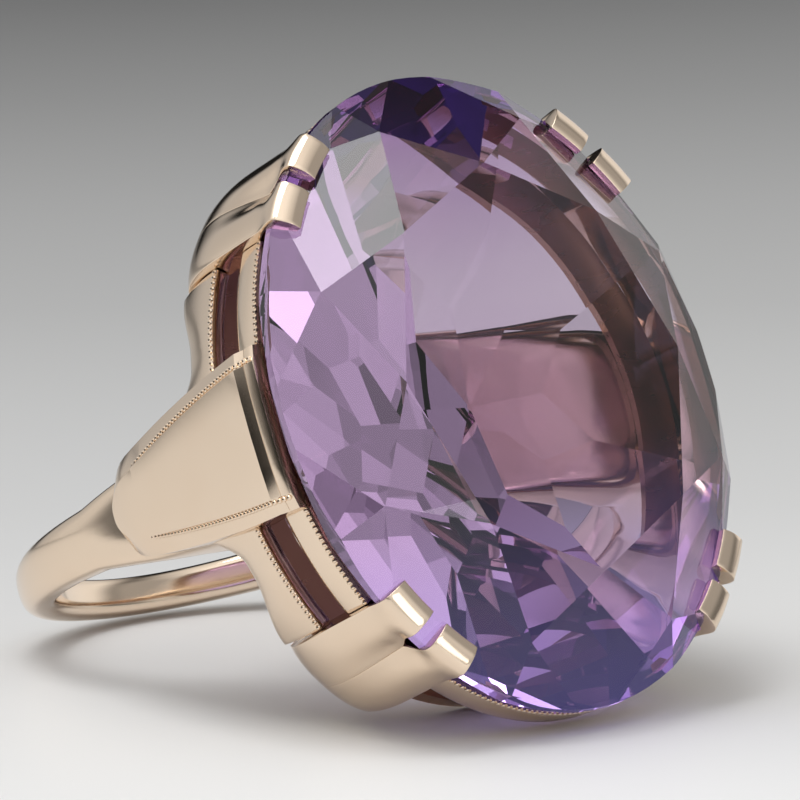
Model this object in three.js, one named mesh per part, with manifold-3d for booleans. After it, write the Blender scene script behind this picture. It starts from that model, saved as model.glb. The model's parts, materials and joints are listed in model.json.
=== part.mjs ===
// Cocktail ring: a large oval amethyst held by four double claws in an open
// gallery, on a flared shank with two keystone shoulders. Millimetres, +Z up.
//
// The ring is modelled in its own frame: +X from the finger out through the
// stone, Y across the hand, Z along the finger and along the stone. At the end
// the whole group is leaned over, so that it lies on its side on the floor.

import * as THREE from 'three';
import { ConvexGeometry } from 'three/addons/geometries/ConvexGeometry.js';
import { mergeVertices } from 'three/addons/utils/BufferGeometryUtils.js';
import Module from 'manifold-3d';

// ---------------------------------------------------------------- dimensions
const FINGER_DIAMETER = 17.7;
const SHANK_THICKNESS = 1.4;
const SHANK_WIDTH_BACK = 1.5;      // at the back of the finger
const SHANK_WIDTH_SIDE = 2.5;      // where the flare to the head starts
const SHANK_WIDTH_HEAD = 5.6;      // flat seat under the gallery
const SHANK_SEAT_RISE = 0.9;       // top of the finger hole to the seat
const SHANK_ARM_SPREAD = 18.0;     // across the two flat sides under the shoulders

const STONE_LENGTH = 25.0;
const STONE_WIDTH = 20.3;
const GIRDLE_THICKNESS = 0.35;
const CROWN_HEIGHT = 2.8;
const PAVILION_DEPTH = 5.9;
const TABLE_SHARE = 0.64;          // table width over stone width
const CULET_CLEARANCE = 0.25;      // culet over the seat

const GALLERY_INSET = 0.15;        // rails sit this far inside the girdle line
const RAIL_THICKNESS = 0.6;
const UPPER_RAIL_DROP = 0.55;      // girdle to the upper rail
const UPPER_RAIL_HEIGHT = 1.55;
const SLOT_HEIGHT = 1.55;          // open slot between the rails
const LOWER_RAIL_TAPER = 0.42;     // how far its foot leans in
const END_RAIL_INSET = 2.2;        // the lower end rails stand this far inside
const LOWER_RAIL_RISE = 0.35;      // foot over the shank seat, midway between claws
const LOWER_RAIL_DIP = 0.8;        // foot runs this much lower beside the claws
const LOWER_RAIL_FILLET = 1.5;     // foot sweeps down this much beside the shoulders
const FLOOR_THICKNESS = 0.7;
const FLOOR_WIDTH = 1.6;
const FLOOR_END_INSET = 0.85;      // the floor is this much shorter at each end

const CLAW_ANGLE = 45;             // degrees round the oval from its long axis
const CLAW_WIDTH = 1.65;
const CLAW_GAP = 0.7;              // between the two claws of a pair
const CLAW_THICKNESS = 0.62;
const CLAW_REACH = 0.75;           // over the crown, in from the girdle
const CLAW_STAND_OFF = 0.42;       // outer face outside the girdle line
const CLAW_ROOT_LENGTH = 1.2;      // run of the claws down inside the shield
const CLAW_KNUCKLE_RISE = 0.5;     // height of the outer bend over the girdle
const CLAW_BEND_THICKNESS = 0.6;
const CLAW_TIP_THICKNESS = 0.35;
const SHIELD_FOOT_WIDTH = 3.7;
const SHIELD_FOOT_DROP = 0.55;     // foot below the shank seat
const SHIELD_HEAD_DROP = 0.5;      // head below the upper rail's top
const SHIELD_ROLL = 0.28;          // how far its long edges turn back

const SEAT_WIDTH = 0.4;            // bearing ring under the girdle
const SEAT_HEIGHT = 0.8;

const SHOULDER_WIDTH_HEAD = 6.3;
const SHOULDER_WIDTH_FOOT = 3.4;
const SHOULDER_THICKNESS = 1.4;
const SHOULDER_BEVEL = 0.65;
const SHOULDER_TIP_BEVEL = 0.85;   // length of the facet at the head end
const SHOULDER_TIP_DROP = 0.5;     // how far that facet turns in
const SHOULDER_SWELL = 0.25;       // swell of its long sides
const SHOULDER_CROWN = 0.15;       // bulge of the outer face
const SHOULDER_PROUD = 0.28;       // face outside the girdle line at the head
const SHOULDER_FOOT_ROUND = 0.9;   // length of the rounded foot
const SHOULDER_FOOT_HEIGHT = 4.7;  // foot of the plaque over the finger's centre

const JOINT_GAP = 0.03;            // soldered seams
const STONE_GAP = 0.05;            // metal to stone

// ------------------------------------------------------------ derived places
const fingerRadius = FINGER_DIAMETER / 2;
const seatLevel = fingerRadius + SHANK_SEAT_RISE;
const girdleLow = seatLevel + CULET_CLEARANCE + PAVILION_DEPTH;
const girdleHigh = girdleLow + GIRDLE_THICKNESS;
const halfLength = STONE_LENGTH / 2;
const halfWidth = STONE_WIDTH / 2;
const pavilionSlope = PAVILION_DEPTH / halfWidth;
const crownSlope = CROWN_HEIGHT / (halfWidth * (1 - TABLE_SHARE));

const upperRailTop = girdleLow - UPPER_RAIL_DROP;
const upperRailFoot = upperRailTop - UPPER_RAIL_HEIGHT;
const lowerRailTop = upperRailFoot - SLOT_HEIGHT;
const railInner = GALLERY_INSET + RAIL_THICKNESS;
const floorLow = seatLevel + JOINT_GAP;
const floorHigh = floorLow + FLOOR_THICKNESS;
const sideFootInset = railInner + LOWER_RAIL_TAPER;

const claw = THREE.MathUtils.degToRad(CLAW_ANGLE);
const shieldWidth = 2 * CLAW_WIDTH + CLAW_GAP;
const shoulderTop = upperRailTop;
const armHalf = SHANK_ARM_SPREAD / 2;                        // arm side at the plaque's foot
const armHalfAtSeat = halfWidth - sideFootInset + 0.5 * JOINT_GAP; // and where the gallery starts

const GOLD = { color: 0xd9bd92, roughness: 0.2, metalness: 1.0 };
const AMETHYST = { color: 0x9a6bc4, roughness: 0.03, metalness: 0.0 };

// -------------------------------------------------------------------- helpers
const wasm = await Module();
wasm.setup();

function mix(from, to, share) {
  return from + (to - from) * share;
}

function clampShare(value) {
  return Math.min(1, Math.max(0, value));
}

// Reads a height profile given as [height, value] pairs in rising order.
function profile(pairs, height) {
  for (let i = 1; i < pairs.length; i += 1) {
    const [low, lowValue] = pairs[i - 1];
    const [high, highValue] = pairs[i];
    if (height <= high) return mix(lowValue, highValue, clampShare((height - low) / (high - low)));
  }
  return pairs[pairs.length - 1][1];
}

// A closed block whose unit coordinates u, v, w (0 to 1) are sent to place(u, v, w).
function shapedBlock(steps, place) {
  const block = new THREE.BoxGeometry(1, 1, 1, ...steps);
  const spots = block.attributes.position;
  for (let i = 0; i < spots.count; i += 1) {
    const spot = place(spots.getX(i) + 0.5, spots.getY(i) + 0.5, spots.getZ(i) + 0.5);
    spots.setXYZ(i, spot.x, spot.y, spot.z);
  }
  return block;
}

// A point on the oval: angle from the +Z end, distance outside the girdle line, height.
function ovalPoint(angle, outside, height) {
  const normal = new THREE.Vector2(halfLength * Math.sin(angle), halfWidth * Math.cos(angle)).normalize();
  return new THREE.Vector3(
    height,
    halfWidth * Math.sin(angle) + outside * normal.x,
    halfLength * Math.cos(angle) + outside * normal.y,
  );
}

// Angle that a length along the girdle takes up near the given angle.
function ovalTurn(length, angle) {
  return length / Math.hypot(halfWidth * Math.cos(angle), halfLength * Math.sin(angle));
}

function toSolid(geometry) {
  const bare = geometry.clone();
  bare.deleteAttribute('normal');
  bare.deleteAttribute('uv');
  const merged = mergeVertices(bare, 1e-5);
  return new wasm.Manifold(new wasm.Mesh({
    numProp: 3,
    vertProperties: Float32Array.from(merged.attributes.position.array),
    triVerts: Uint32Array.from(merged.index.array),
  }));
}

function toGeometry(solid) {
  const mesh = solid.getMesh();
  const geometry = new THREE.BufferGeometry();
  geometry.setAttribute('position', new THREE.BufferAttribute(mesh.vertProperties, 3));
  geometry.setIndex(new THREE.BufferAttribute(mesh.triVerts, 1));
  geometry.computeVertexNormals();
  return geometry;
}

const ring = new THREE.Group();

function addPart(name, geometry, finish) {
  const mesh = new THREE.Mesh(geometry, new THREE.MeshStandardMaterial(finish));
  mesh.name = name;
  ring.add(mesh);
}

// -------------------------------------------------------------------- stone
// Sixteen-sided oval cut: flat table, star, kite and girdle facets, and a
// pavilion of mains running down to a short keel.
function amethyst() {
  const sides = 16;
  const corner = (index, share, height) => {
    const angle = (index * Math.PI * 2) / sides;
    return new THREE.Vector3(
      height,
      share * halfWidth * Math.sin(angle),
      share * halfLength * Math.cos(angle),
    );
  };
  const kiteSpread = 0.45;           // from the table's edge to the girdle
  const kiteRise = 0.62;             // share of the crown's height
  const pavilionShare = 0.5;         // where the pavilion's mains bend
  const pavilionBend = 0.56;         // share of the pavilion's depth there
  const keelShare = 0.16;
  const kiteShare = mix(TABLE_SHARE, 1, kiteSpread);
  const kiteHeight = girdleHigh + CROWN_HEIGHT * kiteRise;
  const pavilionHeight = girdleLow - PAVILION_DEPTH * pavilionBend;
  const points = [];
  for (let i = 0; i < sides; i += 1) {
    points.push(corner(i, 1, girdleLow), corner(i, 1, girdleHigh));
    points.push(corner(i + 0.5, 1, girdleLow), corner(i + 0.5, 1, girdleHigh));
  }
  for (let i = 0; i < sides; i += 2) {
    points.push(corner(i, TABLE_SHARE, girdleHigh + CROWN_HEIGHT));
    points.push(corner(i + 1, kiteShare, kiteHeight));
    points.push(corner(i, pavilionShare, pavilionHeight));
  }
  const culet = girdleLow - PAVILION_DEPTH;
  points.push(new THREE.Vector3(culet, 0, keelShare * halfLength));
  points.push(new THREE.Vector3(culet, 0, -keelShare * halfLength));
  return new ConvexGeometry(points);
}

// -------------------------------------------------------------------- shank
// Half width of the band at an angle from the head.
function shankHalfWidth(turn) {
  const degrees = THREE.MathUtils.radToDeg(Math.abs(turn));
  const flareStart = 80;
  const flareEnd = 35;
  if (degrees > flareStart) {
    const share = (degrees - flareStart) / (180 - flareStart);
    return mix(SHANK_WIDTH_SIDE, SHANK_WIDTH_BACK, Math.sin((share * Math.PI) / 2)) / 2;
  }
  const flare = clampShare((flareStart - degrees) / (flareStart - flareEnd));
  return mix(SHANK_WIDTH_SIDE, SHANK_WIDTH_HEAD, flare) / 2;
}

// Outer radius: a round back, flat sides under the shoulders, a flat seat on top.
function shankOuterRadius(turn) {
  const round = fingerRadius + SHANK_THICKNESS;
  if (round * Math.cos(turn) < SHOULDER_FOOT_HEIGHT) return round;
  const slope = (armHalfAtSeat - armHalf) / (seatLevel - SHOULDER_FOOT_HEIGHT);
  const reach = Math.abs(Math.sin(turn)) - slope * Math.cos(turn);
  const side = reach > 0 ? (armHalf - slope * SHOULDER_FOOT_HEIGHT) / reach : Infinity;
  return Math.min(Math.max(round, side), seatLevel / Math.cos(turn));
}

// A band whose section is a rounded rectangle between the finger and that radius.
const shankSteps = 120;
function shank() {
  const sectionSides = 20;
  const squareness = 5;
  const torus = new THREE.TorusGeometry(2, 1, sectionSides, shankSteps);
  const spots = torus.attributes.position;
  for (let i = 0; i < spots.count; i += 1) {
    const turn = Math.atan2(spots.getY(i), spots.getX(i));
    const out = Math.hypot(spots.getX(i), spots.getY(i)) - 2;
    const side = spots.getZ(i);
    const fill = (Math.abs(out) ** squareness + Math.abs(side) ** squareness) ** (-1 / squareness);
    const outer = shankOuterRadius(turn);
    const radius = mix(fingerRadius, outer, (1 + out * fill) / 2);
    spots.setXYZ(i, radius * Math.cos(turn), radius * Math.sin(turn), shankHalfWidth(turn) * side * fill);
  }
  return torus;
}

// The room that the shank takes, of a given width, for fitting a piece against it.
function shankRoom(width) {
  const outline = new THREE.Shape();
  for (let i = 0; i < shankSteps; i += 1) {
    const turn = (i / shankSteps) * 2 * Math.PI;
    const radius = shankOuterRadius(turn > Math.PI ? 2 * Math.PI - turn : turn) + JOINT_GAP;
    const place = [radius * Math.cos(turn), radius * Math.sin(turn)];
    if (i) outline.lineTo(...place); else outline.moveTo(...place);
  }
  const room = new THREE.ExtrudeGeometry(outline, { depth: width, bevelEnabled: false });
  room.translate(0, 0, -width / 2);
  return room;
}

// ----------------------------------------------------------------- shoulders
// Half width of the plaque at a height, from its narrow foot to the head.
function shoulderHalfWidth(height) {
  const share = clampShare((height - SHOULDER_FOOT_HEIGHT) / (shoulderTop - SHOULDER_FOOT_HEIGHT));
  const swell = SHOULDER_SWELL * 4 * share * (1 - share);
  return mix(SHOULDER_WIDTH_FOOT, SHOULDER_WIDTH_HEAD, share) / 2 + swell;
}

// Outer and inner face of the plaque, as [height, distance from the middle] pairs.
const shoulderFace = [
  [SHOULDER_FOOT_HEIGHT, armHalf + JOINT_GAP + SHOULDER_THICKNESS],
  [seatLevel, armHalfAtSeat + JOINT_GAP + SHOULDER_THICKNESS],
  [shoulderTop, halfWidth + SHOULDER_PROUD],
];
const shoulderBack = [
  [SHOULDER_FOOT_HEIGHT, armHalf + JOINT_GAP],
  [seatLevel, armHalfAtSeat + JOINT_GAP],
  [lowerRailTop, armHalfAtSeat + JOINT_GAP],
  [upperRailFoot, halfWidth - railInner],
];

// A keystone plaque: bulged face, bevelled long sides, a facet turning in at the head.
function shoulder(side) {
  const facetStart = shoulderTop - SHOULDER_TIP_BEVEL;
  const footCut = [[0, 0.75], [0.35, 0.92], [1, 1]];   // share of the rounding, of the width
  const rounding = footCut.map(([share]) => SHOULDER_FOOT_HEIGHT + share * SHOULDER_FOOT_ROUND);
  const straight = [0.25, 0.5, 0.75].map((share) => mix(rounding[2], seatLevel, share));
  const heights = [
    ...rounding, ...straight, seatLevel, lowerRailTop, upperRailFoot, facetStart, shoulderTop,
  ];
  const acrossSteps = 6;
  const block = shapedBlock([acrossSteps, 1, heights.length - 1], (u, v, w) => {
    const height = heights[Math.round(w * (heights.length - 1))];
    const rounded = (height - SHOULDER_FOOT_HEIGHT) / SHOULDER_FOOT_ROUND;
    const half = shoulderHalfWidth(height) * profile(footCut, rounded);
    const faceHalf = half - SHOULDER_BEVEL;
    const step = Math.round(u * acrossSteps);
    const edge = step === 0 || step === acrossSteps;
    const across = edge ? (step ? half : -half)
      : faceHalf * ((step - 1) / ((acrossSteps - 2) / 2) - 1);
    const bulge = SHOULDER_CROWN * (1 - (across / half) ** 2);
    const tipDrop = SHOULDER_TIP_DROP * clampShare((height - facetStart) / SHOULDER_TIP_BEVEL);
    const outer = profile(shoulderFace, height) + (edge ? -SHOULDER_BEVEL : bulge - tipDrop);
    const depth = v > 0.5 ? outer : profile(shoulderBack, height);
    return new THREE.Vector3(height, side * depth, -side * across);
  });
  return toGeometry(toSolid(block).subtract(toSolid(shankRoom(STONE_LENGTH))));
}

// ------------------------------------------------------------------- gallery
// Angles of the two flanks of a claw unit on the oval.
function flankAngle(centre, direction) {
  return centre + direction * ovalTurn(shieldWidth / 2 + JOINT_GAP, centre);
}

// Angle where a rail meets the shoulder's flank at a height.
function shoulderAngle(height, outside) {
  const edge = shoulderHalfWidth(height) + JOINT_GAP;
  return Math.acos(edge / (halfLength + outside));
}

// Outer edge of the gallery's floor inside the girdle line.
function floorInset(angle) {
  return sideFootInset + JOINT_GAP + FLOOR_END_INSET * Math.cos(angle) ** 2;
}

// Foot of the lower rail: lower beside the claws, with a fillet down beside the shoulder.
function lowerRailFoot(share) {
  const dipEnd = 0.625;              // the foot is level from this share of the way
  const filletStart = 0.72;
  const middle = 1 - Math.abs(2 * share - 1);
  const dip = LOWER_RAIL_DIP * (1 - clampShare(middle / dipEnd));
  const fillet = LOWER_RAIL_FILLET * clampShare((middle - filletStart) / (1 - filletStart)) ** 2;
  return seatLevel + LOWER_RAIL_RISE - dip - fillet;
}

// A rail between two end angles, each given at a height, its foot leaning in.
function rail(startAngle, endAngle, footAt, top, inset, leanIn) {
  const alongSteps = 18;
  const upSteps = leanIn ? 5 : 1;
  return shapedBlock([alongSteps, 1, upSteps], (u, v, w) => {
    const height = mix(footAt(u), top, w);
    const lean = leanIn * (1 - w) ** 2;
    const outside = -inset - lean - (v > 0.5 ? 0 : RAIL_THICKNESS);
    const angle = mix(startAngle(height, outside), endAngle(height, outside), u);
    return ovalPoint(angle, outside, height);
  });
}

// Four side rails, each between a claw unit and a shoulder, fitted against the shank.
function sideRails(level, footAt, top, leanIn) {
  const arm = toSolid(shankRoom(SHANK_WIDTH_HEAD + 2 * JOINT_GAP));
  const quarters = [
    ['right_upper', 1], ['right_lower', 2], ['left_lower', 3], ['left_upper', 4],
  ];
  for (const [place, quarter] of quarters) {
    const mirrored = quarter % 2 === 0;
    const start = quarter <= 2 ? 0 : Math.PI;
    const flank = flankAngle(claw, 1);
    const atClaw = () => start + (mirrored ? Math.PI - flank : flank);
    const atShoulder = (height, outside) => {
      const angle = shoulderAngle(height, outside);
      return start + (mirrored ? Math.PI - angle : angle);
    };
    const sideFoot = (share) => footAt(mirrored ? mix(0.5, 1, share) : mix(0, 0.5, share));
    const [from, to] = mirrored ? [atShoulder, atClaw] : [atClaw, atShoulder];
    const piece = rail(from, to, sideFoot, top, GALLERY_INSET, leanIn);
    addPart(`${level}_rail_${place}`, toGeometry(toSolid(piece).subtract(arm)), GOLD);
  }
}

// Two end rails, each between a pair of claw units.
function endRails(level, foot, top, inset) {
  for (const [place, centre] of [['end_upper', 0], ['end_lower', Math.PI]]) {
    const half = flankAngle(claw, -1);
    const piece = rail(() => centre - half, () => centre + half, () => foot, top, inset, 0);
    addPart(`${level}_rail_${place}`, piece, GOLD);
  }
}

// A closed oval ring whose section at an angle is four corners, each [outside, height].
function ovalRing(cornersAt) {
  const steps = 96;
  const torus = new THREE.TorusGeometry(2, 1, 4, steps);
  const spots = torus.attributes.position;
  for (let i = 0; i < spots.count; i += 1) {
    const angle = Math.atan2(spots.getY(i), spots.getX(i));
    const out = Math.hypot(spots.getX(i), spots.getY(i)) - 2;
    const section = Math.round(Math.atan2(spots.getZ(i), out) / (Math.PI / 2));
    const [outside, height] = cornersAt(angle)[(4 - section) % 4];
    const spot = ovalPoint(angle, outside, height);
    spots.setXYZ(i, spot.x, spot.y, spot.z);
  }
  return torus;
}

// Flat oval frame that the rails and claw units stand round, on the shank's seat.
function galleryFloor() {
  return ovalRing((angle) => {
    const outer = -floorInset(angle);
    const inner = outer - FLOOR_WIDTH;
    return [[outer, floorLow], [outer, floorHigh], [inner, floorHigh], [inner, floorLow]];
  });
}

// Bearing ring inside the upper rail, bevelled to the stone's pavilion.
function stoneSeat() {
  const outer = railInner + JOINT_GAP;
  const inner = outer + SEAT_WIDTH;
  const seatPitch = 1.35 * pavilionSlope;   // the pavilion is steeper near the girdle
  const under = (inset) => girdleLow - inset * seatPitch - STONE_GAP;
  const corners = [
    [-outer, under(outer) - SEAT_HEIGHT],
    [-outer, under(outer)],
    [-inner, under(inner)],
    [-inner, under(inner) - SEAT_HEIGHT],
  ];
  return ovalRing(() => corners);
}

// ---------------------------------------------------------------- claw units
// Outer face of the shield below the claws, as [height, outside] pairs.
const shieldFoot = seatLevel - SHIELD_FOOT_DROP;
const shieldTop = upperRailTop - SHIELD_HEAD_DROP;
const shieldFace = [
  [shieldFoot, -GALLERY_INSET - LOWER_RAIL_TAPER],
  [mix(shieldFoot, shieldTop, 0.12), -GALLERY_INSET],
  [mix(shieldFoot, shieldTop, 0.32), 0.6 * CLAW_STAND_OFF],
  [mix(shieldFoot, shieldTop, 0.57), CLAW_STAND_OFF],
  [shieldTop, CLAW_STAND_OFF],
];

function shield(centre) {
  const acrossSteps = 8;
  const upSteps = 10;
  const flareShare = 0.45;           // the width is full from this share of the height
  return shapedBlock([acrossSteps, 1, upSteps], (u, v, w) => {
    const height = mix(shieldFoot, shieldTop, w);
    const width = mix(SHIELD_FOOT_WIDTH, shieldWidth, clampShare(w / flareShare));
    const across = 2 * u - 1;
    const face = profile(shieldFace, height) - SHIELD_ROLL * across ** 2;
    const footInset = floorInset(centre) - JOINT_GAP - railInner;
    const outside = v > 0.5 ? face : -railInner - footInset * (1 - w) ** 2;
    const angle = centre + ovalTurn((across * width) / 2, centre);
    return ovalPoint(angle, outside, height);
  });
}

// One claw: up the outside, over the girdle and a flat tip on the crown.
function clawBar(centre, offset) {
  const crownAt = (inset) => girdleHigh + inset * crownSlope + STONE_GAP;
  const rootHeight = shieldTop - CLAW_ROOT_LENGTH;
  const innerFace = CLAW_STAND_OFF - CLAW_THICKNESS;
  const stoneFace = Math.max(innerFace, STONE_GAP);
  const bend = 0.5 * CLAW_REACH;
  const lower = [
    [innerFace, rootHeight],
    [innerFace, girdleLow - UPPER_RAIL_DROP],
    [stoneFace, girdleLow - STONE_GAP],
    [stoneFace, girdleHigh + STONE_GAP],
    [-bend, crownAt(bend)],
    [-CLAW_REACH, crownAt(CLAW_REACH)],
  ];
  const upper = [
    [CLAW_STAND_OFF, rootHeight],
    [CLAW_STAND_OFF, girdleLow - UPPER_RAIL_DROP],
    [CLAW_STAND_OFF, girdleLow],
    [CLAW_STAND_OFF, girdleHigh + CLAW_KNUCKLE_RISE],
    [-bend, crownAt(bend) + CLAW_BEND_THICKNESS],
    [-CLAW_REACH, crownAt(CLAW_REACH) + CLAW_TIP_THICKNESS],
  ];
  const last = lower.length - 1;
  return shapedBlock([4, 1, last], (u, v, w) => {
    const step = Math.round(w * last);
    const [outside, height] = (v > 0.5 ? upper : lower)[step];
    const distance = offset + (u - 0.5) * CLAW_WIDTH;
    return ovalPoint(centre + ovalTurn(distance, centre), outside, height);
  });
}

function clawUnit(centre) {
  const pitch = (CLAW_WIDTH + CLAW_GAP) / 2;
  const unit = toSolid(shield(centre))
    .add(toSolid(clawBar(centre, -pitch)))
    .add(toSolid(clawBar(centre, pitch)));
  return toGeometry(unit);
}

// ------------------------------------------------------------------ assembly
addPart('amethyst', amethyst(), AMETHYST);
addPart('shank', shank(), GOLD);
addPart('shoulder_left', shoulder(-1), GOLD);
addPart('shoulder_right', shoulder(1), GOLD);
sideRails('upper', () => upperRailFoot, upperRailTop, 0);
endRails('upper', upperRailFoot, upperRailTop, GALLERY_INSET);
sideRails('lower', lowerRailFoot, lowerRailTop, LOWER_RAIL_TAPER);
endRails('lower', floorHigh + JOINT_GAP, lowerRailTop, END_RAIL_INSET);
addPart('gallery_floor', galleryFloor(), GOLD);
addPart('stone_seat', stoneSeat(), GOLD);
addPart('claws_right_upper', clawUnit(claw), GOLD);
addPart('claws_right_lower', clawUnit(Math.PI - claw), GOLD);
addPart('claws_left_lower', clawUnit(Math.PI + claw), GOLD);
addPart('claws_left_upper', clawUnit(2 * Math.PI - claw), GOLD);

// The ring lies on its side. It leans until the line from the back of the shank
// to the head's lowest point is level, so that both touch the floor.
function leanAngle() {
  const backX = -fingerRadius - SHANK_THICKNESS;
  const backZ = -SHANK_WIDTH_BACK / 2;
  let lean = 0;
  for (const piece of ring.children.filter((mesh) => mesh.name !== 'shank')) {
    const spots = piece.geometry.attributes.position;
    for (let i = 0; i < spots.count; i += 1) {
      lean = Math.max(lean, Math.atan2(backZ - spots.getZ(i), spots.getX(i) - backX));
    }
  }
  return lean;
}

ring.rotation.y = -leanAngle();
const lying = new THREE.Group();
lying.add(ring);
lying.updateMatrixWorld(true);
const box = new THREE.Box3().setFromObject(lying, true);
ring.position.set(-(box.min.x + box.max.x) / 2, -(box.min.y + box.max.y) / 2, -box.min.z);

export default lying;
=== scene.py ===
"""Cocktail ring: a large oval amethyst in four double claws on a milgrained gold gallery,
lying on its side on a pale floor. Each operator builds one piece or a group of like pieces.

Pieces are shaped in millimetres in the ring's own frame (x out through the stone, y across
the hand, z along the finger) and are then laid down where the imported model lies."""

import json
import math

import bmesh
import bpy
from mathutils import Matrix, Vector


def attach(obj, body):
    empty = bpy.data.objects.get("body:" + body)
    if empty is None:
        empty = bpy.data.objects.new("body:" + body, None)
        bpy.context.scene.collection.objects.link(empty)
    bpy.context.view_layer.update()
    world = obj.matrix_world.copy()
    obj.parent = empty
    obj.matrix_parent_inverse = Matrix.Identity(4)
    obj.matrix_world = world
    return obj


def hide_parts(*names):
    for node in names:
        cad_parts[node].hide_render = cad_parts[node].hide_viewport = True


bl_info = {
    "name": "Cocktail Ring",
    "version": (1, 0, 0),
    "blender": (4, 5, 0),
    "location": "3D View > Sidebar > Ring",
    "description": "Builds a gold cocktail ring with a large oval amethyst on a pale floor",
    "category": "Object",
}

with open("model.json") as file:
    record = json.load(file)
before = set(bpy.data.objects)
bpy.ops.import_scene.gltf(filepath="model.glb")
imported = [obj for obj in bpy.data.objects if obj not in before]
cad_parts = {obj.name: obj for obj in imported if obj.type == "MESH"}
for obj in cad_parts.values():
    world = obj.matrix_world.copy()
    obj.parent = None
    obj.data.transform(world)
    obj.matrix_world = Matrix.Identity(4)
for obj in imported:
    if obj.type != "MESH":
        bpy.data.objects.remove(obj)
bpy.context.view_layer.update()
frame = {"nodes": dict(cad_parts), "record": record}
MM = 0.001


def ring_frame():
    """Matrix from the ring's own frame in millimetres to the row frame in metres."""
    hole = next(m for m in frame["record"]["mounts"] if m["name"] == "finger_hole")
    along = Vector(hole["axis"]).normalized()
    across = Vector((0, 1, 0))
    turn = Matrix((across.cross(along), across, along)).transposed().to_4x4()
    return Matrix.Translation(Vector(hole["pos_m"])) @ turn @ Matrix.Scale(MM, 4)


RING = ring_frame()


def ring_box(node):
    """Lowest and highest corner of a CAD node in the ring's own frame, in millimetres."""
    back = RING.inverted()
    spots = [back @ v.co for v in frame["nodes"][node].data.vertices]
    return [Vector(f(p[i] for p in spots) for i in range(3)) for f in (min, max)]


STONE = ring_box("amethyst")
UPPER_RAIL = ring_box("upper_rail_left_lower")
LOWER_RAIL = ring_box("lower_rail_left_lower")
CLAWS = ring_box("claws_left_lower")
BAND = ring_box("shank")
PLAQUE = ring_box("shoulder_left")


# ------------------------------------------------------------------ settings
def length(label, millimetres, text):
    return bpy.props.FloatProperty(
        name=label, description=text, default=millimetres * MM, unit="LENGTH", precision=5)


def number(label, value, text):
    return bpy.props.FloatProperty(name=label, description=text, default=value, precision=4)


def colour(label, value, text):
    return bpy.props.FloatVectorProperty(
        name=label, description=text, default=value, size=4, subtype="COLOR")


class StoneSettings(bpy.types.PropertyGroup):
    crown_height: length("Crown height", 2.8, "Girdle to table")
    pavilion_depth: length("Pavilion depth", 5.9, "Girdle to culet")
    table_share: number("Table share", 0.64, "Table width over the stone's width")
    refraction: number("Refraction", 1.545, "Refractive index of quartz")
    body: colour("Body colour", (0.76, 0.69, 0.78, 1), "Lilac tint of the middle")
    upper_end: colour("Upper end", (0.34, 0.12, 0.44, 1), "Deep violet of the upper end")
    lower_end: colour("Lower end", (0.50, 0.46, 1.0, 1), "Blue violet of the lower end")
    # painted shade: red-brown colour laid on the pavilion just under the girdle, in place of
    # the gallery's shadow
    rim: colour("Shaded rim", (0.16, 0.07, 0.05, 1), "Red-brown under the girdle")
    depth_colour: colour("Depth colour", (0.60, 0.30, 0.68, 1), "Colour of a long path")
    depth_density: number("Depth density", 48.0, "How fast the colour deepens, per metre")


class GoldSettings(bpy.types.PropertyGroup):
    pale: colour("Pale gold", (0.83, 0.69, 0.55, 1), "Polished face")
    rosy: colour("Rosy gold", (0.78, 0.615, 0.465, 1), "Warmer patches of the alloy")
    polish: number("Polish", 0.085, "Roughness of the polished faces")
    haze: number("Haze", 0.10, "Added roughness in the duller patches")
    scratch_depth: length("Scratch depth", 0.0016, "Depth of the fine polishing lines")


class ShankSettings(bpy.types.PropertyGroup):
    finger_diameter: length("Finger diameter", 17.7, "Bore of the band")
    thickness: length("Thickness", 1.4, "Thickness of the band")
    width_back: length("Width at the back", 1.5, "Narrowest width, behind the finger")
    width_side: length("Width at the side", 2.5, "Width where the flare starts")
    width_head: length("Width at the head", 5.6, "Width of the seat under the gallery")
    arm_spread: length("Arm spread", 18.0, "Across the flat sides under the shoulders")


class ShoulderSettings(bpy.types.PropertyGroup):
    width_head: length("Width at the head", 6.3, "Wide end of the keystone")
    width_foot: length("Width at the foot", 3.4, "Narrow end of the keystone")
    swell: length("Swell", 0.25, "How far the long sides bow out")
    bevel: length("Bevel", 0.62, "Width of the sloping borders")
    tip_length: length("Tip length", 0.85, "Facet that turns in at the head")
    tip_drop: length("Tip drop", 0.5, "How far that facet turns in")
    thickness: length("Thickness", 1.4, "Face to back")


class GallerySettings(bpy.types.PropertyGroup):
    inset: length("Inset", 0.15, "Rails inside the girdle line")
    thickness: length("Rail thickness", 0.6, "Rail, inside to outside")
    taper: length("Taper", 0.42, "How far the lower rail's foot leans in")
    chamfer: length("Chamfer", 0.34, "Bright lower edge of the upper rail")
    dip: length("Dip", 0.8, "How much lower the lower rail's foot runs beside the claws")
    fillet: length("Fillet", 1.5, "How far that foot sweeps down beside the shoulders")
    bead: length("Bead", 0.21, "Diameter of a milgrain bead")
    pitch: length("Bead pitch", 0.23, "Milgrain bead to bead")


class ClawSettings(bpy.types.PropertyGroup):
    width: length("Claw width", 1.65, "Width of one claw")
    gap: length("Gap", 0.7, "Between the two claws of a pair")
    stand_off: length("Stand-off", 0.42, "Outer face outside the girdle line")
    reach: length("Reach", 0.75, "Over the crown, in from the girdle")


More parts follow.
